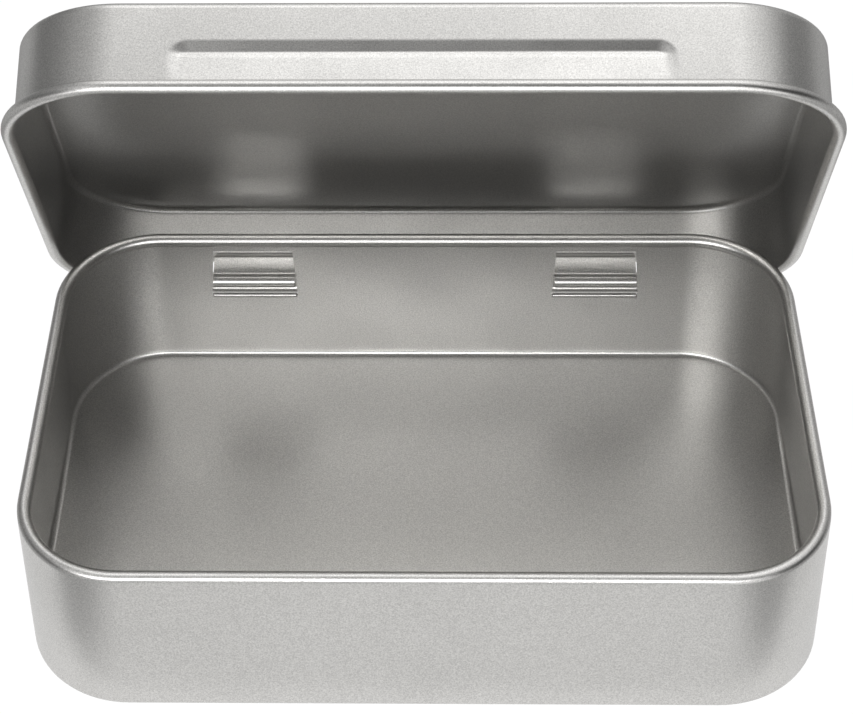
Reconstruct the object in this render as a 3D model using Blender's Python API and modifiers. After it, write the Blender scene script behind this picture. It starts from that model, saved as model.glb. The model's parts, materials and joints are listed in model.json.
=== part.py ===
"""Small rectangular hinged-lid tin of plain tinplate, standing open and empty.

Metres, +Z up. X runs along the tin, the hinge is at the back (+Y), and the
origin is the middle of the underside. Sizes below are in millimetres and are
turned into metres by MM. The lid is drawn closed, in coordinates measured from
its hinge axis, and then swung open about that axis.
"""

import math

import bmesh
import bpy
from mathutils import Matrix

MM = 0.001

# Sheet and general roundness
SHEET = 0.2
CORNER_STEPS = 8
BEND_STEPS = 4
CURL_STEPS = 10

# Base pan, outside sizes
BASE_LENGTH = 93.0
BASE_DEPTH = 59.0
BASE_HEIGHT = 21.8
BASE_CORNER = 12.5
BASE_FOOT_BEND = 0.9
BASE_CURL_RADIUS = 0.85
BASE_CURL_SWEEP = 285.0

# Lid pan, closed over the base
LID_SIDE_GAP = 0.12
LID_BACK_GAP = 0.25
LID_FRONT_GAP = 1.25
LID_TOP_GAP = 0.2
LID_HEIGHT = 11.8
LID_CORNER = 12.82
LID_TOP_BEND = 1.0
LID_ROLL_RADIUS = 0.8
LID_ROLL_SWEEP = 290.0
LID_OPEN_ANGLE = 62.4

# Thumb recess pressed into the front of the lid's skirt
RECESS_LENGTH = 56.3
RECESS_TOP = 6.75
RECESS_DEEPEST = 5.25
RECESS_FOOT = 2.2
RECESS_DEPTH = 0.43
RECESS_END_RUN = 1.6

# Hinges: a window in the base's back wall, and a hooked tab of the lid. The tab's
# points are (y, z) from the hinge axis, with the lid closed.
HINGE_OFFSETS = (-22.45, 22.45)
WINDOW_TOP_WIDTH = 10.4
WINDOW_FOOT_WIDTH = 11.3
WINDOW_TOP = 18.5
WINDOW_FOOT = 10.9
SILL_RADIUS = 0.3
SILL_SETBACK = 0.35
SILL_LENGTH = 11.2
TAB_WIDTH = 10.7
TAB_SHEET = 0.26
TAB_ROOT = ((-0.7, 5.3), (-0.7, 4.7))
TAB_NECK = ((-0.72, 4.2), (-1.35, 4.05))
TAB_SHOULDER = ((-2.45, 3.4), (-3.05, 3.25), (-3.1, 2.7))
TAB_RAMP = ((-3.3, 1.6), (-3.15, 0.62))
TAB_HOOK_CENTRE = (-2.91, -0.31)
TAB_HOOK_RADIUS = 0.72
TAB_HOOK_START = 125.0
TAB_HOOK_SWEEP = 270.0
SLOT_MARGIN = 0.5
SLOT_FOOT = 1.7
SLOT_TOP = 3.4

# Derived positions
LID_LENGTH = BASE_LENGTH + 2 * (LID_SIDE_GAP + SHEET)
LID_BACK = BASE_DEPTH / 2 + LID_BACK_GAP + SHEET
LID_FRONT = -(BASE_DEPTH / 2 + LID_FRONT_GAP + SHEET)
LID_RIM_HEIGHT = BASE_HEIGHT + LID_TOP_GAP + SHEET - LID_HEIGHT
HINGE_Y = LID_BACK - SHEET + LID_ROLL_RADIUS
HINGE_Z = LID_RIM_HEIGHT + LID_ROLL_RADIUS


def clear_scene():
    """Remove whatever the new file starts with."""
    for obj in list(bpy.data.objects):
        bpy.data.objects.remove(obj, do_unlink=True)


def new_collection(name, cutters=False):
    """Return a new collection linked to the scene; one for cutters isn't rendered."""
    collection = bpy.data.collections.new(name)
    collection.hide_render = cutters
    bpy.context.scene.collection.children.link(collection)
    return collection


def tinplate(name, colour, roughness):
    """Return a bare tinplate material."""
    material = bpy.data.materials.new(name)
    material.use_nodes = True
    shader = material.node_tree.nodes["Principled BSDF"]
    shader.inputs["Base Color"].default_value = (*colour, 1.0)
    shader.inputs["Metallic"].default_value = 1.0
    shader.inputs["Roughness"].default_value = roughness
    return material


def outline(length, back, front, corner, inset):
    """Return the points of a rounded rectangle, set in from its sides."""
    radius = corner - inset
    right = length / 2 - corner
    centres = (
        (right, back - corner),
        (-right, back - corner),
        (-right, front + corner),
        (right, front + corner),
    )
    points = []
    for quarter, (x, y) in enumerate(centres):
        for step in range(CORNER_STEPS + 1):
            angle = math.radians(90 * (quarter + step / CORNER_STEPS))
            points.append((x + radius * math.cos(angle), y + radius * math.sin(angle)))
    return points


def arc(centre_inset, centre_height, radius, start, sweep, steps):
    """Return (inset, height) pairs along an arc; at 0 degrees it points outwards."""
    pairs = []
    for step in range(steps + 1):
        angle = math.radians(start + sweep * step / steps)
        inset = centre_inset - radius * math.cos(angle)
        pairs.append((inset, centre_height + radius * math.sin(angle)))
    return pairs


def object_from(bm, name, collection):
    """Write a bmesh, drawn in millimetres, to a new object in metres."""
    bmesh.ops.scale(bm, vec=(MM, MM, MM), verts=bm.verts)
    mesh = bpy.data.meshes.new(name)
    bm.to_mesh(mesh)
    bm.free()
    obj = bpy.data.objects.new(name, mesh)
    collection.objects.link(obj)
    return obj


def pan_surface(name, loops, plate_normal_z, collection):
    """Bridge outlines from the flat plate to the rim, and fill the plate.

    Each entry of loops is one outline's points with its height. The surface
    is the outer face of the sheet, and plate_normal_z says which way the
    plate faces.
    """
    bm = bmesh.new()
    rings = []
    for points, height in loops:
        verts = [bm.verts.new((x, y, height)) for x, y in points]
        ring = []
        for index, vert in enumerate(verts):
            ring.append(bm.edges.new((vert, verts[(index + 1) % len(verts)])))
        rings.append(ring)
    plate = bmesh.ops.contextual_create(bm, geom=rings[0])["faces"][0]
    for inner, outer in zip(rings, rings[1:]):
        bmesh.ops.bridge_loops(bm, edges=inner + outer)
    bmesh.ops.recalc_face_normals(bm, faces=bm.faces)
    if plate.normal.z * plate_normal_z < 0:
        bmesh.ops.reverse_faces(bm, faces=bm.faces)
    return object_from(bm, name, collection)


def thicken(obj, thickness, offset):
    """Give an open surface the sheet's thickness."""
    solid = obj.modifiers.new("Sheet", "SOLIDIFY")
    solid.thickness = thickness * MM
    solid.offset = offset
    solid.use_even_offset = True


def combine(obj, other, operation):
    """Cut another object from this one, or join it on."""
    boolean = obj.modifiers.new(operation.title(), "BOOLEAN")
    boolean.operation = operation
    boolean.solver = "EXACT"
    boolean.object = other


def smooth(obj):
    """Shade round pieces smooth and keep the sheet's edges sharp."""
    obj.data.shade_smooth()
    obj.data.set_sharp_from_angle(angle=math.radians(35))


def as_cutter(obj, parent=None):
    """Keep a cutter, or a piece joined to another, out of the render."""
    obj.hide_render = True
    obj.display_type = "WIRE"
    obj.parent = parent


def base_loops():
    """Return the base's outlines, from the floor up the wall and round the curl."""
    wall = arc(BASE_FOOT_BEND, BASE_FOOT_BEND, BASE_FOOT_BEND, -90, 90, BEND_STEPS)
    curl_height = BASE_HEIGHT - BASE_CURL_RADIUS
    curl = arc(
        BASE_CURL_RADIUS,
        curl_height,
        BASE_CURL_RADIUS,
        0,
        BASE_CURL_SWEEP,
        CURL_STEPS,
    )
    back = BASE_DEPTH / 2
    loops = []
    for inset, height in wall + curl:
        points = outline(BASE_LENGTH, back, -back, BASE_CORNER, inset)
        loops.append((points, height))
    return loops


def window_cutter(centre_x, collection):
    """Return a tapered block that opens one hinge window."""
    bm = bmesh.new()
    made = bmesh.ops.create_cube(bm, size=1.0)["verts"]
    height = WINDOW_TOP - WINDOW_FOOT
    bmesh.ops.scale(bm, vec=(WINDOW_FOOT_WIDTH, 3.0, height), verts=made)
    upper = [vert for vert in made if vert.co.z > 0]
    narrowing = WINDOW_TOP_WIDTH / WINDOW_FOOT_WIDTH
    bmesh.ops.scale(bm, vec=(narrowing, 1.0, 1.0), verts=upper)
    uprights = [edge for edge in bm.edges if abs(edge.verts[0].co.y - edge.verts[1].co.y) > 1]
    bmesh.ops.bevel(bm, geom=uprights, offset=0.3, segments=3, profile=0.5, affect="EDGES")
    middle = (WINDOW_TOP + WINDOW_FOOT) / 2
    bmesh.ops.translate(bm, vec=(centre_x, BASE_DEPTH / 2, middle), verts=bm.verts)
    cutter = object_from(bm, "window_cutter", collection)
    as_cutter(cutter)
    return cutter


def window_sill(centre_x, collection):
    """Return the rounded lip along one window's lower edge."""
    bm = bmesh.new()
    bmesh.ops.create_cone(
        bm,
        cap_ends=True,
        segments=16,
        radius1=SILL_RADIUS,
        radius2=SILL_RADIUS,
        depth=SILL_LENGTH,
    )
    ends = [edge for edge in bm.edges if abs(edge.verts[0].co.z - edge.verts[1].co.z) < 1]
    bmesh.ops.bevel(bm, geom=ends, offset=0.15, segments=2, profile=0.5, affect="EDGES")
    bmesh.ops.rotate(bm, matrix=Matrix.Rotation(math.pi / 2, 3, "Y"), verts=bm.verts)
    seat = (centre_x, BASE_DEPTH / 2 - SILL_SETBACK, WINDOW_FOOT + 0.1)
    bmesh.ops.translate(bm, vec=seat, verts=bm.verts)
    sill = object_from(bm, "window_sill", collection)
    as_cutter(sill)
    return sill


def build_base(parts, cutters):
    """Build the base pan with its curled rim and two hinge windows."""
    base = pan_surface("base_pan", base_loops(), -1.0, parts)
    thicken(base, SHEET, -1.0)
    for centre_x in HINGE_OFFSETS:
        combine(base, window_cutter(centre_x, cutters), "DIFFERENCE")
        combine(base, window_sill(centre_x, cutters), "UNION")
    base.data.materials.append(tinplate("base_tinplate", (0.62, 0.62, 0.60), 0.32))
    smooth(base)
    return base


def lid_loops():
    """Return the lid's outlines, from the top down the skirt and round the roll."""
    top = LID_RIM_HEIGHT + LID_HEIGHT
    bend = arc(LID_TOP_BEND, top - LID_TOP_BEND, LID_TOP_BEND, 90, -90, BEND_STEPS)
    roll_radius = LID_ROLL_RADIUS - SHEET
    roll = arc(
        -roll_radius,
        LID_RIM_HEIGHT + LID_ROLL_RADIUS,
        roll_radius,
        180,
        LID_ROLL_SWEEP,
        CURL_STEPS,
    )
    loops = []
    for inset, height in bend + roll:
        points = outline(LID_LENGTH, LID_BACK, LID_FRONT, LID_CORNER, inset)
        shifted = [(x, y - HINGE_Y) for x, y in points]
        loops.append((shifted, height - HINGE_Z))
    return loops


def recess_block(name, grow, collection):
    """Return the thumb recess as a solid wedge, grown by the sheet on demand."""
    face = LID_FRONT - HINGE_Y
    foot = LID_RIM_HEIGHT - HINGE_Z
    section = (
        (-1.0, RECESS_TOP + grow),
        (0.0, RECESS_TOP + grow),
        (RECESS_DEPTH + grow, RECESS_DEEPEST + 0.3),
        (RECESS_DEPTH + grow, RECESS_DEEPEST - 0.3),
        (0.0, RECESS_FOOT - 2 * grow),
        (-1.0, RECESS_FOOT - 2 * grow),
    )
    half = RECESS_LENGTH / 2 + grow
    bm = bmesh.new()
    verts = [bm.verts.new((-half, face + y, foot + z)) for y, z in section]
    profile = bmesh.ops.contextual_create(bm, geom=verts)["faces"]
    swept = bmesh.ops.extrude_face_region(bm, geom=profile)["geom"]
    moved = [item for item in swept if isinstance(item, bmesh.types.BMVert)]
    bmesh.ops.translate(bm, vec=(2 * half, 0.0, 0.0), verts=moved)
    run = RECESS_END_RUN
    for vert in bm.verts:
        if vert.co.y > face + 0.1:
            vert.co.x -= math.copysign(run, vert.co.x)
    bmesh.ops.recalc_face_normals(bm, faces=bm.faces)
    return object_from(bm, name, collection)


def slot_cutter(centre_x, collection):
    """Return a block that opens the slot in the skirt behind one hinge tab."""
    bm = bmesh.new()
    made = bmesh.ops.create_cube(bm, size=1.0)["verts"]
    size = (TAB_WIDTH + 2 * SLOT_MARGIN, 1.4, SLOT_TOP - SLOT_FOOT)
    bmesh.ops.scale(bm, vec=size, verts=made)
    middle = (centre_x, LID_BACK - HINGE_Y, (SLOT_TOP + SLOT_FOOT) / 2)
    bmesh.ops.translate(bm, vec=middle, verts=made)
    return object_from(bm, "slot_cutter", collection)


def bend(start, pull, end, steps):
    """Return the points after start along a bend that its pull point shapes."""
    points = []
    for step in range(1, steps + 1):
        t = step / steps
        weights = ((1 - t) ** 2, 2 * t * (1 - t), t * t)
        y = sum(w * p[0] for w, p in zip(weights, (start, pull, end)))
        z = sum(w * p[1] for w, p in zip(weights, (start, pull, end)))
        points.append((y, z))
    return points


def tab_path():
    """Return the tab's centre line in (y, z): off the skirt, down and round."""
    path = list(TAB_ROOT)
    path += bend(path[-1], TAB_NECK[0], TAB_NECK[1], 3)
    path.append(TAB_SHOULDER[0])
    path += bend(path[-1], TAB_SHOULDER[1], TAB_SHOULDER[2], 3)
    path += bend(path[-1], TAB_RAMP[0], TAB_RAMP[1], 5)
    for step in range(CURL_STEPS + 1):
        angle = math.radians(TAB_HOOK_START + TAB_HOOK_SWEEP * step / CURL_STEPS)
        y = TAB_HOOK_CENTRE[0] + TAB_HOOK_RADIUS * math.cos(angle)
        z = TAB_HOOK_CENTRE[1] + TAB_HOOK_RADIUS * math.sin(angle)
        path.append((y, z))
    return path


def hinge_tab(centre_x, collection):
    """Return one hooked tab as a strip swept across its width."""
    bm = bmesh.new()
    left = centre_x - TAB_WIDTH / 2
    verts = [bm.verts.new((left, y, z)) for y, z in tab_path()]
    line = [bm.edges.new(pair) for pair in zip(verts, verts[1:])]
    swept = bmesh.ops.extrude_edge_only(bm, edges=line)["geom"]
    moved = [item for item in swept if isinstance(item, bmesh.types.BMVert)]
    bmesh.ops.translate(bm, vec=(TAB_WIDTH, 0.0, 0.0), verts=moved)
    bmesh.ops.recalc_face_normals(bm, faces=bm.faces)
    tab = object_from(bm, "hinge_tab", collection)
    thicken(tab, TAB_SHEET, 0.0)
    return tab


def build_lid(parts, cutters):
    """Build the lid with its rolled rim, thumb recess and two hinge tabs."""
    lid = pan_surface("lid", lid_loops(), 1.0, parts)
    thicken(lid, SHEET, -1.0)
    bulge = recess_block("recess_bulge", SHEET, cutters)
    pocket = recess_block("recess_pocket", 0.0, cutters)
    for block in (bulge, pocket):
        as_cutter(block, lid)
    combine(lid, bulge, "UNION")
    combine(lid, pocket, "DIFFERENCE")
    for centre_x in HINGE_OFFSETS:
        slot = slot_cutter(centre_x, cutters)
        tab = hinge_tab(centre_x, cutters)
        as_cutter(slot, lid)
        as_cutter(tab, lid)
        combine(lid, slot, "DIFFERENCE")
        combine(lid, tab, "UNION")
    lid.location = (0.0, HINGE_Y * MM, HINGE_Z * MM)
    lid.rotation_euler = (-math.radians(LID_OPEN_ANGLE), 0.0, 0.0)
    lid.data.materials.append(tinplate("lid_tinplate", (0.62, 0.62, 0.60), 0.32))
    smooth(lid)
    return lid


def main():
    """Build the tin."""
    clear_scene()
    parts = new_collection("hinged_tin")
    cutters = new_collection("hinged_tin_cutters", cutters=True)
    build_base(parts, cutters)
    build_lid(parts, cutters)


main()
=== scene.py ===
"""Small rectangular hinged-lid tin of bare tinplate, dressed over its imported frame.

The tin is two drawn sheets: a base pan with a rim curled inwards, and a lid with
a rim rolled outwards, which hooks through two windows in the base's back wall.
"""

import json
import logging
import math
from collections.abc import Callable, Sequence
from dataclasses import dataclass, field
from enum import Enum

import bmesh
import bpy
from mathutils import Matrix, Vector

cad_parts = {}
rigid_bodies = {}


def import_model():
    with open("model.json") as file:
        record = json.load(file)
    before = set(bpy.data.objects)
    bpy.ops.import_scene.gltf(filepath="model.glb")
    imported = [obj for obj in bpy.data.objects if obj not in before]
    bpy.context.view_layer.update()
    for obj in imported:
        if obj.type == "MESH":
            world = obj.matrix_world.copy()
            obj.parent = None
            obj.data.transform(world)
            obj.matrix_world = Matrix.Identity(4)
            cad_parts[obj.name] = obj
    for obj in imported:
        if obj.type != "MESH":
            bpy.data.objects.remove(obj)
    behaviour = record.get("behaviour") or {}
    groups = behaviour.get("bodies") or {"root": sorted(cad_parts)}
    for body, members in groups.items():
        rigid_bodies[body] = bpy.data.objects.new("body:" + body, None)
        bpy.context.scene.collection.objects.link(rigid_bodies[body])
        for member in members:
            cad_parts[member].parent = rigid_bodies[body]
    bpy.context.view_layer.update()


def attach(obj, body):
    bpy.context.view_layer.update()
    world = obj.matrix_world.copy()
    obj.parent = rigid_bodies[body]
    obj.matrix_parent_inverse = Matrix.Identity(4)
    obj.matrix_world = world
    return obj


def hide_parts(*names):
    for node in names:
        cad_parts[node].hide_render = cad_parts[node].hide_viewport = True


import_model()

MM = 0.001
VIEW_GAMMA = 0.8
SMOOTH_ANGLE = 38.0
WELD_MM = 0.002
ON_PLANE_MM = 0.01
log = logging.getLogger("tin")

Point = tuple[float, float]


def to_linear(colour: str) -> tuple[float, float, float, float]:
    """Turn an sRGB hex colour to linear.

    Args:
        colour: Six hex digits after a hash.

    Returns:
        Linear red, green, blue and an alpha of 1.
    """
    parts = [int(colour[i : i + 2], 16) / 255 for i in (1, 3, 5)]
    low = [p / 12.92 for p in parts]
    high = [((p + 0.055) / 1.055) ** 2.4 for p in parts]
    linear = [lo if p <= 0.04045 else hi for p, lo, hi in zip(parts, low, high)]
    return (linear[0], linear[1], linear[2], 1.0)


def add_node(
    tree: bpy.types.NodeTree,
    kind: str,
    settings: dict[str, object] | None = None,
    **inputs: object,
) -> bpy.types.Node:
    """Add a node with its settings, input values and links.

    Args:
        tree: The node tree to add to.
        kind: The node's type, such as ShaderNodeMath.
        settings: Properties of the node itself.
        **inputs: Input values, or output sockets to link from. An underscore in
            a name stands for a space, and in0, in1 and so on are by position.

    Returns:
        The new node.
    """
    node = tree.nodes.new(kind)
    for name, value in (settings or {}).items():
        setattr(node, name, value)
    for name, value in inputs.items():
        by_place = name.startswith("in") and name[2:].isdigit()
        socket = node.inputs[int(name[2:]) if by_place else name.replace("_", " ")]
        if isinstance(value, bpy.types.NodeSocket):
            tree.links.new(value, socket)
        else:
            socket.default_value = value
    return node


@dataclass(frozen=True)
class SatinTinplate:
    """Cold-rolled tinplate with a stone finish, left bare.

    Steel sheet rolled with ground rolls and tinned without flow-brightening: it
    reflects broadly, with a fine grain, and no single mirror highlight.
    """

    name: str = "satin_tinplate"
    tone: str = "#D5D4D2"
    roughness: float = 0.37
    roughness_spread: float = 0.06
    grain_mm: float = 0.16
    grain_depth_mm: float = 0.0036
    cloud_mm: float = 9.0
    noise_band: Point = (0.3, 0.7)
    tone_range: Point = (0.83, 1.17)

    def build(self) -> bpy.types.Material:
        """Build the material.

        Returns:
            The finished material.
        """
        material = bpy.data.materials.new(self.name)
        material.use_nodes = True
        tree = material.node_tree
        shader = tree.nodes["Principled BSDF"]
        shader.distribution = "GGX"
        shader.inputs["Metallic"].default_value = 1.0
        place = add_node(tree, "ShaderNodeTexCoord").outputs["Object"]
        grain = add_node(
            tree,
            "ShaderNodeTexNoise",
            Vector=place,
            Scale=1.0 / (self.grain_mm * MM),
            Detail=2.0,
            Roughness=0.6,
        ).outputs["Fac"]
        cloud = add_node(
            tree,
            "ShaderNodeTexNoise",
            Vector=place,
            Scale=1.0 / (self.cloud_mm * MM),
            Detail=3.0,
        ).outputs["Fac"]
        tone = to_linear(self.tone)
        shade = add_node(
            tree,
            "ShaderNodeMapRange",
            Value=grain,
            From_Min=self.noise_band[0],
            From_Max=self.noise_band[1],
            To_Min=self.tone_range[0],
            To_Max=self.tone_range[1],
        ).outputs["Result"]
        colour = add_node(
            tree,
            "ShaderNodeVectorMath",
            {"operation": "SCALE"},
            in0=tone[:3],
            Scale=shade,
        ).outputs["Vector"]
        tree.links.new(colour, shader.inputs["Base Color"])
        rough = add_node(
            tree,
            "ShaderNodeMapRange",
            Value=cloud,
            From_Min=self.noise_band[0],
            From_Max=self.noise_band[1],
            To_Min=self.roughness - self.roughness_spread / 2,
            To_Max=self.roughness + self.roughness_spread / 2,
        ).outputs["Result"]
        tree.links.new(rough, shader.inputs["Roughness"])
        bump = add_node(
            tree,
            "ShaderNodeBump",
            Height=grain,
            Distance=self.grain_depth_mm * MM,
            Strength=1.0,
        ).outputs["Normal"]
        tree.links.new(bump, shader.inputs["Normal"])
        return material


class Join(Enum):
    """How one solid changes another."""

    CUT = "DIFFERENCE"
    WELD = "UNION"


def deselect() -> None:
    """Leave edit mode and select nothing."""
    if bpy.context.mode != "OBJECT":
        bpy.ops.object.mode_set(mode="OBJECT")
    for obj in bpy.context.view_layer.objects:
        obj.select_set(False)


def active(obj: bpy.types.Object) -> None:
    """Make one object the only one selected."""
    deselect()
    obj.select_set(True)
    bpy.context.view_layer.objects.active = obj


def apply_modifier(obj: bpy.types.Object, kind: str, **settings: object) -> None:
    """Add a modifier and apply it.

    Args:
        obj: The piece.
        kind: The modifier's type.
        **settings: The modifier's settings.
    """
    active(obj)
    modifier = obj.modifiers.new(kind.title(), kind)
    for name, value in settings.items():
        setattr(modifier, name, value)
    bpy.ops.object.modifier_apply(modifier=modifier.name)


def join_solid(obj: bpy.types.Object, other: bpy.types.Object, how: Join) -> None:
    """Cut a solid from a piece or weld it on, then remove the solid.

    Args:
        obj: The piece.
        other: The solid, used up here.
        how: Cut or weld.
    """
    apply_modifier(obj, "BOOLEAN", operation=how.value, solver="EXACT", object=other)
    bpy.data.objects.remove(other, do_unlink=True)


def select_edges(
    obj: bpy.types.Object, test: Callable[[bmesh.types.BMEdge], bool]
) -> None:
    """Select some of a piece's edges, in edit mode.

    Args:
        obj: The piece, in edit mode.
        test: Says whether an edge is wanted.
    """
    bpy.ops.mesh.select_mode(type="EDGE")
    bpy.ops.mesh.select_all(action="DESELECT")
    bm = bmesh.from_edit_mesh(obj.data)
    for edge in bm.edges:
        edge.select_set(test(edge))
    bmesh.update_edit_mesh(obj.data)


class Drawn:
    """A line drawn point by point in a piece's edit mode, in millimetres."""

    def __init__(self, name: str, start: Vector) -> None:
        """Start the line.

        Args:
            name: The piece's name.
            start: The first point.
        """
        deselect()
        bpy.ops.mesh.primitive_plane_add(size=MM, location=(0.0, 0.0, 0.0))
        self.obj = bpy.context.object
        self.obj.name = name
        bpy.ops.object.mode_set(mode="EDIT")
        bpy.ops.mesh.select_mode(type="VERT")
        bpy.ops.mesh.select_all(action="SELECT")
        bpy.ops.mesh.merge(type="CENTER")
        bpy.ops.transform.translate(value=start * MM)
        self.at = start.copy()

    def straight(self, to: Vector, cuts: int = 1) -> "Drawn":
        """Draw a straight run.

        Args:
            to: Its end.
            cuts: How many edges it has.

        Returns:
            This line, to go on drawing.
        """
        step = (to - self.at) / cuts * MM
        for _ in range(cuts):
            bpy.ops.mesh.extrude_vertices_move(TRANSFORM_OT_translate={"value": step})
        self.at = to.copy()
        return self

    def arc(self, centre: Vector, angle: float, steps: int) -> "Drawn":
        """Draw an arc in the plane y = const.

        Args:
            centre: The arc's centre.
            angle: Degrees turned, positive from +X towards +Z.
            steps: How many edges it has.

        Returns:
            This line, to go on drawing.
        """
        reach = self.at - centre
        turned = math.radians(angle) / steps
        for step in range(1, steps + 1):
            turn = Matrix.Rotation(-turned * step, 3, "Y")
            self.straight(centre + turn @ reach)
        return self


@dataclass
class Plan:
    """The tin's rounded rectangle seen from above."""

    length: float
    depth: float
    corner: float
    corner_steps: int = 20

    def sweep(
        self,
        line: Drawn,
        long_cuts: Sequence[float] = (),
        mid_y: float = 0.0,
    ) -> bpy.types.Object:
        """Carry a wall's section round the plan.

        The section is drawn at y = 0 on the right-hand side. It is carried back,
        spun round one corner and carried to the middle, then mirrored twice.

        Args:
            line: The drawn section.
            long_cuts: Where the long side has extra edges, as X, falling.
            mid_y: Where the plan's middle lies.

        Returns:
            The swept sheet, still one face thick and without its plate.
        """
        obj = line.obj
        run = self.depth / 2 - self.corner
        centre = Vector((self.length / 2 - self.corner, run, 0.0))
        bpy.ops.mesh.select_all(action="SELECT")
        bpy.ops.mesh.extrude_region_move(
            TRANSFORM_OT_translate={"value": (0.0, run * MM, 0.0)}
        )
        bpy.ops.mesh.spin(
            steps=self.corner_steps,
            angle=math.radians(-90),
            center=centre * MM,
            axis=(0.0, 0.0, 1.0),
        )
        x = centre.x
        for cut in (*long_cuts, 0.0):
            bpy.ops.mesh.extrude_region_move(
                TRANSFORM_OT_translate={"value": ((cut - x) * MM, 0.0, 0.0)}
            )
            x = cut
        bpy.ops.object.mode_set(mode="OBJECT")
        apply_modifier(
            obj,
            "MIRROR",
            use_axis=(True, True, False),
            merge_threshold=WELD_MM * MM,
        )
        active(obj)
        bpy.ops.object.mode_set(mode="EDIT")
        bpy.ops.mesh.select_all(action="SELECT")
        bpy.ops.mesh.remove_doubles(threshold=WELD_MM * MM)
        bpy.ops.transform.translate(value=(0.0, mid_y * MM, 0.0))
        bpy.ops.object.mode_set(mode="OBJECT")
        return obj


def close_plate(obj: bpy.types.Object, height: float, up: bool) -> None:
    """Fill the flat plate inside the innermost loop and face the sheet outwards.

    Args:
        obj: The swept sheet.
        height: The plate's height.
        up: Whether the plate's outer face looks up.
    """
    active(obj)
    bpy.ops.object.mode_set(mode="EDIT")
    select_edges(
        obj,
        lambda edge: edge.is_boundary
        and all(abs(v.co.z / MM - height) < 1e-3 for v in edge.verts),
    )
    bpy.ops.mesh.edge_face_add()
    bpy.ops.mesh.select_all(action="SELECT")
    bpy.ops.mesh.normals_make_consistent(inside=False)
    bm = bmesh.from_edit_mesh(obj.data)
    bm.faces.ensure_lookup_table()
    plate = max(bm.faces, key=lambda face: face.calc_area())
    if (plate.normal.z > 0) != up:
        bpy.ops.mesh.flip_normals()
    bpy.ops.object.mode_set(mode="OBJECT")


def finish_sheet(obj: bpy.types.Object, material: bpy.types.Material) -> None:
    """Shade a sheet: smooth bends, flat plates and sharp cut edges.

    Args:
        obj: The piece.
        material: Its finish.
    """
    active(obj)
    bpy.ops.object.shade_smooth_by_angle(angle=math.radians(SMOOTH_ANGLE))
    apply_modifier(obj, "WEIGHTED_NORMAL", mode="FACE_AREA", keep_sharp=True)
    obj.data.materials.clear()
    obj.data.materials.append(material)


@dataclass
class HingeWindows:
    """The two windows in the back wall that the lid's hooks pass through."""

    offsets: tuple[float, float] = (-22.45, 22.45)
    top: float = 18.5
    foot: float = 10.9
    top_width: float = 10.4
    foot_width: float = 11.3
    sill_radius: float = 0.3
    sill_length: float = 11.2
    sill_in: float = 0.35
    sill_rise: float = 0.1
    sill_rounding: float = 0.2
    block_depth: float = 3.0

    def cutter(self, x: float, wall_y: float) -> bpy.types.Object:
        """Make the tapered block that opens one window.

        Args:
            x: The window's middle.
            wall_y: The back wall's outer face.

        Returns:
            The block.
        """
        deselect()
        height = self.top - self.foot
        middle = Vector((x, wall_y, (self.top + self.foot) / 2))
        bpy.ops.mesh.primitive_cube_add(size=1.0, location=middle * MM)
        block = bpy.context.object
        block.scale = Vector((self.foot_width, self.block_depth, height)) * MM
        bpy.ops.object.transform_apply(location=True, rotation=True, scale=True)
        bpy.ops.object.mode_set(mode="EDIT")
        select_edges(
            block, lambda edge: all(v.co.z / MM > middle.z for v in edge.verts)
        )
        narrow = self.top_width / self.foot_width
        bpy.ops.transform.resize(
            value=(narrow, 1.0, 1.0), center_override=middle * MM
        )
        bpy.ops.object.mode_set(mode="OBJECT")
        return block

    def sill(self, x: float, wall_y: float) -> bpy.types.Object:
        """Make the rounded lip along one window's lower edge.

        Args:
            x: The window's middle.
            wall_y: The back wall's outer face.

        Returns:
            The lip.
        """
        deselect()
        seat = Vector((x, wall_y - self.sill_in, self.foot + self.sill_rise))
        bpy.ops.mesh.primitive_cylinder_add(
            vertices=24,
            radius=self.sill_radius * MM,
            depth=self.sill_length * MM,
            location=seat * MM,
            rotation=(0.0, math.pi / 2, 0.0),
        )
        lip = bpy.context.object
        bpy.ops.object.transform_apply(location=True, rotation=True, scale=True)
        bpy.ops.object.mode_set(mode="EDIT")
        select_edges(
            lip, lambda edge: abs(edge.verts[0].co.x - edge.verts[1].co.x) < 1e-6
        )
        bpy.ops.mesh.bevel(
            offset=self.sill_rounding * MM, segments=4, profile=0.5, affect="EDGES"
        )
        bpy.ops.object.mode_set(mode="OBJECT")
        return lip


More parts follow.
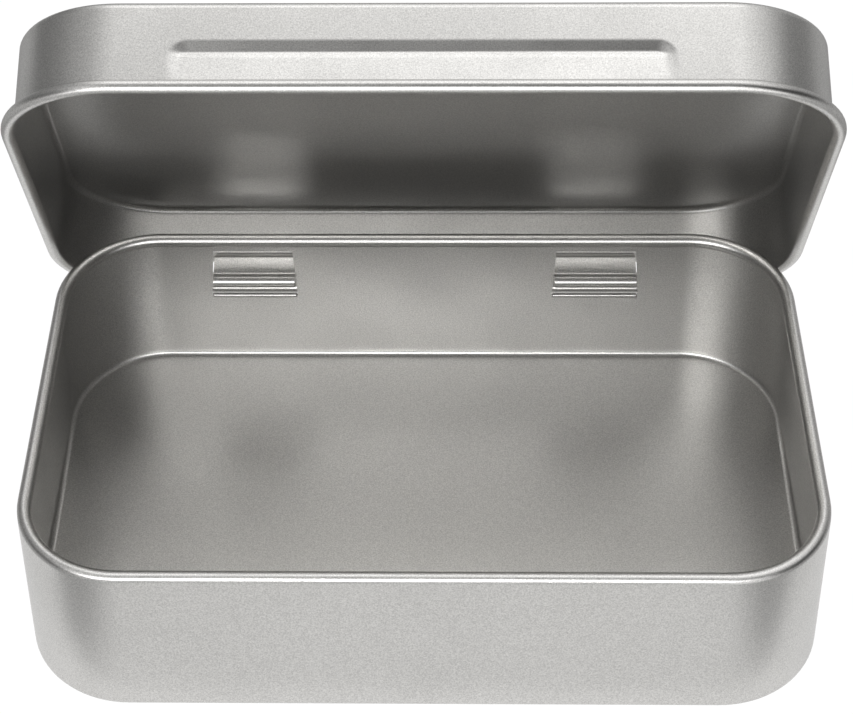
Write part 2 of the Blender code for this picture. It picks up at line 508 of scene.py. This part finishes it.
@dataclass
class BasePan:
    """The base: drawn from one sheet, its rim curled inwards."""

    plan: Plan = field(default_factory=lambda: Plan(93.0, 59.0, 12.5))
    height: float = 21.8
    sheet: float = 0.2
    foot_bend: float = 0.9
    curl_radius: float = 0.85
    curl_sweep: float = 285.0
    plate_run: float = 1.2
    bend_steps: int = 8
    curl_steps: int = 28
    wall_cuts: int = 4
    first_cut: float = 30.0
    cut_spacing: float = 2.5
    windows: HingeWindows = field(default_factory=HingeWindows)

    def build(self, finish: bpy.types.Material) -> bpy.types.Object:
        """Model the base pan.

        Args:
            finish: Its material.

        Returns:
            The base pan.
        """
        side = self.plan.length / 2
        bend = self.foot_bend
        curl = self.curl_radius
        shoulder = self.height - curl
        line = Drawn("base_pan_sheet", Vector((side - bend - self.plate_run, 0.0, 0.0)))
        line.straight(Vector((side - bend, 0.0, 0.0)))
        line.arc(Vector((side - bend, 0.0, bend)), 90, self.bend_steps)
        line.straight(Vector((side, 0.0, shoulder)), self.wall_cuts)
        curl_centre = Vector((side - curl, 0.0, shoulder))
        line.arc(curl_centre, self.curl_sweep, self.curl_steps)
        count = int(self.first_cut / self.cut_spacing)
        cuts = [self.first_cut - self.cut_spacing * n for n in range(count)]
        pan = self.plan.sweep(line, cuts)
        close_plate(pan, 0.0, up=False)
        apply_modifier(
            pan,
            "SOLIDIFY",
            thickness=self.sheet * MM,
            offset=-1.0,
            use_even_offset=True,
        )
        wall_y = self.plan.depth / 2
        for x in self.windows.offsets:
            join_solid(pan, self.windows.cutter(x, wall_y), Join.CUT)
            join_solid(pan, self.windows.sill(x, wall_y), Join.WELD)
        finish_sheet(pan, finish)
        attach(pan, "base")
        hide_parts("base_pan")
        return pan


@dataclass
class ThumbRecess:
    """The shallow recess pressed into the front of the lid's skirt.

    A sloping wall runs round its top and ends; from its deepest line the floor
    climbs steeply, then gently, back to the skirt above the roll.
    """

    half_length: float = 28.15
    top: float = 6.75
    foot: float = 1.7
    wall: float = 1.25
    corner: float = 2.2
    depth: float = 0.4
    ledge_run: float = 0.6
    ledge_depth: float = 0.22

    def depth_at(self, x: float, drop: float) -> float:
        """Give the recess's depth at a point of the skirt.

        Args:
            x: Distance from the tin's middle.
            drop: Height above the lid's rim plane.

        Returns:
            How far the sheet is pressed in.
        """
        across = self.half_length - abs(x)
        below = self.top - drop
        if across < self.corner and below < self.corner:
            inside = math.hypot(self.corner - across, self.corner - below)
            edge = self.corner - inside
        else:
            edge = min(across, below)
        deepest = self.top - self.wall
        ledge = deepest - self.ledge_run
        if drop > deepest:
            floor = self.depth
        elif drop > ledge:
            t = (drop - ledge) / self.ledge_run
            floor = self.ledge_depth + (self.depth - self.ledge_depth) * t
        else:
            t = max(drop - self.foot, 0.0) / (ledge - self.foot)
            floor = self.ledge_depth * t
        return floor * min(max(edge / self.wall, 0.0), 1.0)


def bend(start: Point, pull: Point, end: Point, steps: int) -> list[Point]:
    """Lay out a bend between two points.

    Args:
        start: Where it starts.
        pull: The point that shapes it.
        end: Where it ends.
        steps: How many edges it has.

    Returns:
        The points after the start.
    """
    points = []
    for step in range(1, steps + 1):
        t = step / steps
        weights = ((1 - t) ** 2, 2 * t * (1 - t), t * t)
        knots = (start, pull, end)
        points.append(
            (
                sum(w * k[0] for w, k in zip(weights, knots)),
                sum(w * k[1] for w, k in zip(weights, knots)),
            )
        )
    return points


@dataclass
class HingeTabs:
    """The two tabs of the lid that hook through the base's windows.

    Points are (y, z) from the hinge's axis, with the lid closed.
    """

    offsets: tuple[float, float] = (-22.45, 22.45)
    width: float = 10.7
    sheet: float = 0.24
    root: tuple[Point, Point] = ((-0.7, 5.3), (-0.7, 4.7))
    neck: tuple[Point, Point] = ((-0.72, 4.2), (-1.35, 4.05))
    shoulder: tuple[Point, Point, Point] = ((-2.45, 3.4), (-3.05, 3.25), (-3.1, 2.7))
    ramp: tuple[Point, Point] = ((-3.3, 1.6), (-3.15, 0.62))
    hook_centre: Point = (-2.91, -0.31)
    hook_radius: float = 0.72
    hook_start: float = 125.0
    hook_sweep: float = 270.0
    slot_margin: float = 0.5
    slot_foot: float = 1.7
    slot_top: float = 3.4
    slot_in: float = 0.6
    slot_depth: float = 1.4
    slot_rounding: float = 0.4
    bend_steps: int = 6
    ramp_steps: int = 10
    hook_steps: int = 18

    def path(self) -> list[Point]:
        """Lay out the tab's centre line: off the skirt, down and round the hook."""
        path = list(self.root)
        path += bend(path[-1], *self.neck, self.bend_steps)
        path.append(self.shoulder[0])
        path += bend(path[-1], *self.shoulder[1:], self.bend_steps)
        path += bend(path[-1], *self.ramp, self.ramp_steps)
        for step in range(self.hook_steps + 1):
            turned = self.hook_sweep * step / self.hook_steps
            angle = math.radians(self.hook_start + turned)
            path.append(
                (
                    self.hook_centre[0] + self.hook_radius * math.cos(angle),
                    self.hook_centre[1] + self.hook_radius * math.sin(angle),
                )
            )
        return path

    def tab(self, x: float, hinge: Point) -> bpy.types.Object:
        """Make one hooked tab.

        Args:
            x: The tab's middle.
            hinge: The hinge's axis as (y, z).

        Returns:
            The tab.
        """
        points = [
            Vector((x - self.width / 2, y + hinge[0], z + hinge[1]))
            for y, z in self.path()
        ]
        line = Drawn("hinge_tab", points[0])
        for point in points[1:]:
            line.straight(point)
        bpy.ops.mesh.select_all(action="SELECT")
        bpy.ops.mesh.extrude_region_move(
            TRANSFORM_OT_translate={"value": (self.width * MM, 0.0, 0.0)}
        )
        bpy.ops.object.mode_set(mode="OBJECT")
        apply_modifier(
            line.obj,
            "SOLIDIFY",
            thickness=self.sheet * MM,
            offset=0.0,
            use_even_offset=True,
        )
        return line.obj

    def slot_block(self, x: float, hinge: Point) -> bpy.types.Object:
        """Make the block that opens the skirt's slot behind one tab.

        Args:
            x: The tab's middle.
            hinge: The hinge's axis as (y, z).

        Returns:
            The block.
        """
        deselect()
        width = self.width + 2 * self.slot_margin
        height = self.slot_top - self.slot_foot
        rise = (self.slot_top + self.slot_foot) / 2
        middle = Vector((x, hinge[0] - self.slot_in, hinge[1] + rise))
        bpy.ops.mesh.primitive_cube_add(size=1.0, location=middle * MM)
        block = bpy.context.object
        block.scale = Vector((width, self.slot_depth, height)) * MM
        bpy.ops.object.transform_apply(location=True, rotation=True, scale=True)
        bpy.ops.object.mode_set(mode="EDIT")
        select_edges(
            block, lambda edge: abs(edge.verts[0].co.y - edge.verts[1].co.y) > MM
        )
        bpy.ops.mesh.bevel(
            offset=self.slot_rounding * MM, segments=4, affect="EDGES"
        )
        bpy.ops.object.mode_set(mode="OBJECT")
        return block


@dataclass
class Lid:
    """The lid: drawn from one sheet, its rim rolled outwards, hooked at the back."""

    plan: Plan = field(default_factory=lambda: Plan(93.64, 60.9, 12.82))
    mid_y: float = -0.5
    rim: float = 10.4
    height: float = 11.8
    sheet: float = 0.2
    top_bend: float = 1.0
    roll_radius: float = 0.8
    roll_sweep: float = 290.0
    hinge: Point = (30.55, 11.2)
    open_angle: float = 62.4
    plate_run: float = 1.2
    bend_steps: int = 8
    roll_steps: int = 28
    skirt_band: Point = (1.6, 8.0)
    skirt_cuts: int = 38
    recess: ThumbRecess = field(default_factory=ThumbRecess)
    tabs: HingeTabs = field(default_factory=HingeTabs)

    def build(self, finish: bpy.types.Material) -> bpy.types.Object:
        """Model the lid closed, then swing it open.

        Args:
            finish: Its material.

        Returns:
            The lid.
        """
        side = self.plan.length / 2
        bend = self.top_bend
        top = self.rim + self.height
        roll = self.roll_radius - self.sheet
        roll_z = self.rim + self.roll_radius
        line = Drawn("lid_sheet", Vector((side - bend - self.plate_run, 0.0, top)))
        line.straight(Vector((side - bend, 0.0, top)))
        low, high = (self.rim + rise for rise in self.skirt_band)
        line.arc(Vector((side - bend, 0.0, top - bend)), -90, self.bend_steps)
        line.straight(Vector((side, 0.0, high)))
        line.straight(Vector((side, 0.0, low)), self.skirt_cuts)
        line.straight(Vector((side, 0.0, roll_z)))
        roll_centre = Vector((side + roll, 0.0, roll_z))
        line.arc(roll_centre, self.roll_sweep, self.roll_steps)
        lid = self.plan.sweep(line, self.long_cuts(), self.mid_y)
        close_plate(lid, top, up=True)
        self.press_recess(lid)
        apply_modifier(
            lid,
            "SOLIDIFY",
            thickness=self.sheet * MM,
            offset=-1.0,
            use_even_offset=True,
        )
        for x in self.tabs.offsets:
            join_solid(lid, self.tabs.slot_block(x, self.hinge), Join.CUT)
            join_solid(lid, self.tabs.tab(x, self.hinge), Join.WELD)
        self.swing_open(lid)
        finish_sheet(lid, finish)
        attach(lid, "lid")
        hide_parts("lid")
        return lid

    @staticmethod
    def long_cuts() -> list[float]:
        """Place the skirt's extra edges, closest together at the recess's ends."""
        ends = [29.0 - 0.25 * n for n in range(17)]
        middle = [24.0 - 1.25 * n for n in range(19)]
        return [31.0, 30.0, *ends, *middle]

    def press_recess(self, lid: bpy.types.Object) -> None:
        """Press the thumb recess into the front skirt of the closed lid."""
        front = self.mid_y - self.plan.depth / 2
        for vert in lid.data.vertices:
            point = vert.co / MM
            if abs(point.y - front) < ON_PLANE_MM:
                depth = self.recess.depth_at(point.x, point.z - self.rim)
                vert.co.y += depth * MM

    def swing_open(self, lid: bpy.types.Object) -> None:
        """Turn the closed lid about the hinge's axis to where it stands."""
        axis = Vector((0.0, *self.hinge)) * MM
        turn = Matrix.Rotation(-math.radians(self.open_angle), 4, "X")
        place = Matrix.Translation(axis) @ turn @ Matrix.Translation(-axis)
        lid.data.transform(place)


def ease(
    tree: bpy.types.NodeTree,
    value: bpy.types.NodeSocket,
    low: float,
    high: float,
    top: float = 1.0,
) -> bpy.types.NodeSocket:
    """Rise smoothly from nought to a top value.

    Args:
        tree: The node tree to add to.
        value: What it follows.
        low: Where it starts to rise.
        high: Where it reaches the top.
        top: The top value.

    Returns:
        The eased value.
    """
    return add_node(
        tree,
        "ShaderNodeMapRange",
        {"interpolation_type": "SMOOTHSTEP"},
        Value=value,
        From_Min=low,
        From_Max=high,
        To_Min=0.0,
        To_Max=top,
    ).outputs["Result"]


def maths(
    tree: bpy.types.NodeTree, how: str, *values: object
) -> bpy.types.NodeSocket:
    """Work out a sum, a product or the like with a node.

    Args:
        tree: The node tree to add to.
        how: The operation, as the node names it.
        *values: Numbers, or sockets to link from.

    Returns:
        The result.
    """
    inputs = {f"in{place}": value for place, value in enumerate(values)}
    node = add_node(tree, "ShaderNodeMath", {"operation": how}, **inputs)
    return node.outputs["Value"]


@dataclass(frozen=True)
class SoftCard:
    """A soft-edged light card far off, by the direction that it hangs in.

    Angles are in degrees. The turn is from straight in front of the tin, to the
    right as one looks from the tin.
    """

    height: float
    turn: float
    strength: float
    core: float = 5.0
    edge: float = 35.0

    def direction(self) -> tuple[float, float, float]:
        """Give the unit vector from the tin to the card."""
        up, round_ = math.radians(self.height), math.radians(self.turn)
        return (
            math.cos(up) * math.sin(round_),
            -math.cos(up) * math.cos(round_),
            math.sin(up),
        )


@dataclass(frozen=True)
class LowLamp:
    """A small soft lamp that stands in front of the tin and faces it."""

    name: str
    place: tuple[float, float, float]
    size: tuple[float, float]
    watts: float

    def build(self) -> None:
        """Stand the lamp in place."""
        light = bpy.data.lights.new(self.name, "AREA")
        light.shape = "RECTANGLE"
        light.size, light.size_y = self.size
        light.energy = self.watts
        lamp = bpy.data.objects.new(self.name, light)
        lamp.location = self.place
        lamp.rotation_euler = (math.radians(90.0), 0.0, 0.0)
        bpy.context.scene.collection.objects.link(lamp)


@dataclass
class Studio:
    """A table lit from within by a painted glow, low lamps and soft cards in a dark
    room.

    The table's glow is painted light: full on a panel round the tin. Beyond it the
    painted glow is lower, rises towards the front, and dips in a band of painted shade
    at each side. Each band is given as where its light starts to change and where it
    ends, in metres.
    """

    table_reach: float = 3.0
    table_colour: str = "#303030"
    table_roughness: float = 0.9
    panel_half: float = 0.0725
    panel_depth: Point = (-0.032, 0.12)
    panel_fade: float = 0.01
    panel_front_fade: float = 0.0005
    table_light: float = 0.6
    front_light: float = 0.4
    front_rise: Point = (0.03, 0.3)
    front_fan: Point = (0.5, 0.94)
    side_shade: float = 0.25
    side_inner: Point = (0.04, 0.055)
    side_outer: Point = (0.1, 0.14)
    side_front: Point = (-0.085, -0.06)
    side_back: Point = (0.12, 0.22)
    front_strip: float = 0.3
    strip_edge: Point = (0.035, 0.05)
    cards: tuple[SoftCard, ...] = (
        SoftCard(30.0, -25.0, 0.7, edge=28.0),
        SoftCard(88.0, 0.0, 0.36),
        SoftCard(62.0, 180.0, 0.85),
        SoftCard(35.0, 180.0, 0.68, edge=40.0),
        SoftCard(30.0, -90.0, 0.2, edge=40.0),
        SoftCard(60.0, 90.0, 1.03),
        SoftCard(60.0, -90.0, 0.37),
        SoftCard(45.0, -45.0, 0.58, edge=30.0),
        SoftCard(20.0, 135.0, 0.51, edge=40.0),
        SoftCard(20.0, -135.0, 0.27, edge=40.0),
        SoftCard(75.0, 180.0, 0.6, edge=25.0),
    )
    lamps: tuple[LowLamp, ...] = (
        LowLamp("front_lamp_left", (-0.08, -0.16, 0.105), (0.08, 0.05), 0.052),
        LowLamp("front_lamp", (0.0, -0.16, 0.105), (0.08, 0.05), 0.062),
        LowLamp("front_lamp_right", (0.08, -0.16, 0.105), (0.08, 0.05), 0.02),
        LowLamp("low_lamp_left", (-0.08, -0.1, 0.0625), (0.08, 0.035), 0.012),
        LowLamp("low_lamp", (0.0, -0.1, 0.0625), (0.08, 0.035), 0.027),
        LowLamp("low_lamp_right", (0.08, -0.1, 0.045), (0.08, 0.07), 0.015),
    )

    def build(self) -> None:
        """Set up the table and the lights."""
        self.table()
        self.room()
        for lamp in self.lamps:
            lamp.build()

    def table(self) -> None:
        """Lay the table top and light it."""
        deselect()
        bpy.ops.mesh.primitive_plane_add(size=self.table_reach * 2)
        table = bpy.context.object
        table.name = "white_table"
        # Painted light: the table looks white only from its emission glow, over a dark
        # grey base colour.
        material = bpy.data.materials.new("white_acrylic")
        material.use_nodes = True
        tree = material.node_tree
        shader = tree.nodes["Principled BSDF"]
        shader.inputs["Base Color"].default_value = to_linear(self.table_colour)
        shader.inputs["Roughness"].default_value = self.table_roughness
        shader.inputs["Specular IOR Level"].default_value = 0.0
        shader.inputs["Emission Color"].default_value = (1.0, 1.0, 1.0, 1.0)
        tree.links.new(self.table_glow(tree), shader.inputs["Emission Strength"])
        table.data.materials.append(material)

    def table_glow(self, tree: bpy.types.NodeTree) -> bpy.types.NodeSocket:
        """Paint the table's glow: full on the panel round the tin and less on the rest
        of the table.

        Args:
            tree: The table material's nodes.

        Returns:
            The glow's strength.
        """
        place = add_node(tree, "ShaderNodeTexCoord").outputs["Object"]
        split = add_node(tree, "ShaderNodeSeparateXYZ", Vector=place)
        x, y = split.outputs["X"], split.outputs["Y"]
        front = maths(tree, "MULTIPLY", y, -1.0)
        run = maths(tree, "SUBTRACT", y, self.panel_depth[0])
        aside = maths(tree, "ABSOLUTE", x)
        inside = maths(tree, "SUBTRACT", self.panel_half, aside)
        back = maths(tree, "SUBTRACT", self.panel_depth[1], y)
        # Painted light: a pool of full glow on the panel round the tin.
        panel = ease(tree, inside, -self.panel_fade, 0.0)
        starts = ease(tree, run, -self.panel_front_fade, 0.0)
        panel = maths(tree, "MULTIPLY", panel, starts)
        ends = ease(tree, back, -self.panel_fade, 0.0)
        panel = maths(tree, "MULTIPLY", panel, ends)
        reach = add_node(
            tree, "ShaderNodeVectorMath", {"operation": "LENGTH"}, in0=place
        ).outputs["Value"]
        # Painted light: glow that rises towards the front of the table.
        ahead = ease(tree, maths(tree, "DIVIDE", front, reach), *self.front_fan)
        rise = ease(tree, front, *self.front_rise)
        glow = maths(tree, "MULTIPLY", ahead, rise)
        rest = maths(tree, "MULTIPLY_ADD", glow, self.front_light, self.table_light)
        # Painted shade: a darker band of glow at each side of the tin.
        past_front = ease(tree, y, *self.side_front)
        inner = ease(tree, aside, *self.side_inner)
        outer = maths(tree, "SUBTRACT", 1.0, ease(tree, aside, *self.side_outer))
        near = maths(tree, "SUBTRACT", 1.0, ease(tree, y, *self.side_back))
        band = maths(tree, "MULTIPLY", inner, past_front)
        band = maths(tree, "MULTIPLY", band, maths(tree, "MULTIPLY", outer, near))
        shade = maths(tree, "MULTIPLY", band, -self.side_shade)
        rest = maths(tree, "MULTIPLY", rest, maths(tree, "ADD", shade, 1.0))
        # Painted light: a brighter strip of glow straight in front of the tin.
        strip = maths(tree, "SUBTRACT", 1.0, ease(tree, aside, *self.strip_edge))
        strip = maths(tree, "MULTIPLY", strip, past_front)
        rest = maths(tree, "MULTIPLY_ADD", strip, self.front_strip, rest)
        more = maths(tree, "SUBTRACT", 1.0, rest)
        return maths(tree, "MULTIPLY_ADD", panel, more, rest)

    def room(self) -> None:
        """Hang the soft cards in the dark room."""
        world = bpy.data.worlds.new("studio_room")
        bpy.context.scene.world = world
        world.use_nodes = True
        tree = world.node_tree
        background = tree.nodes["Background"]
        way = add_node(tree, "ShaderNodeTexCoord").outputs["Generated"]
        light = 0.0
        for card in self.cards:
            spread = add_node(
                tree,
                "ShaderNodeVectorMath",
                {"operation": "DOT_PRODUCT"},
                in0=way,
                in1=card.direction(),
            ).outputs["Value"]
            edge, core = (math.cos(math.radians(a)) for a in (card.edge, card.core))
            glow = ease(tree, spread, edge, core, card.strength)
            light = maths(tree, "ADD", light, glow)
        background.inputs["Strength"].default_value = 1.0
        tree.links.new(light, background.inputs["Color"])


@dataclass
class Camera:
    """The viewpoint: above the front, looking down into the tin.

    The place is in millimetres and the angles are in degrees.
    """

    place: tuple[float, float, float] = (1.872, -206.017, 222.924)
    pitch_down: float = 37.013
    yaw: float = -1.652
    roll: float = -1.069
    lens: float = 100.49
    shift: Point = (0.0503, -0.3168)

    def build(self) -> bpy.types.Object:
        """Add the camera.

        Returns:
            The camera.
        """
        pitch, yaw, roll = (
            math.radians(a) for a in (self.pitch_down, self.yaw, self.roll)
        )
        ahead = Vector(
            (
                math.sin(yaw) * math.cos(pitch),
                math.cos(yaw) * math.cos(pitch),
                -math.sin(pitch),
            )
        )
        level = Vector((math.cos(yaw), -math.sin(yaw), 0.0))
        above = level.cross(ahead)
        right = math.cos(roll) * level + math.sin(roll) * above
        up = -math.sin(roll) * level + math.cos(roll) * above
        data = bpy.data.cameras.new("camera")
        data.sensor_width = 36.0
        data.lens = self.lens
        data.shift_x, data.shift_y = self.shift
        data.clip_start = 0.01
        data.clip_end = 20.0
        camera = bpy.data.objects.new("camera", data)
        turn = Matrix((right, up, -ahead)).transposed().to_4x4()
        camera.matrix_world = Matrix.Translation(Vector(self.place) * MM) @ turn
        bpy.context.scene.collection.objects.link(camera)
        bpy.context.scene.camera = camera
        return camera


def main() -> None:
    """Build the tin and its setting."""
    logging.basicConfig(level=logging.INFO, format="%(name)s: %(message)s")
    bpy.context.scene.view_settings.view_transform = "Standard"
    bpy.context.scene.view_settings.gamma = VIEW_GAMMA
    finish = SatinTinplate().build()
    for piece in (BasePan().build(finish), Lid().build(finish)):
        log.info("%s: %d faces", piece.name, len(piece.data.polygons))
    Studio().build()
    Camera().build()


if __name__ == "__main__":
    main()
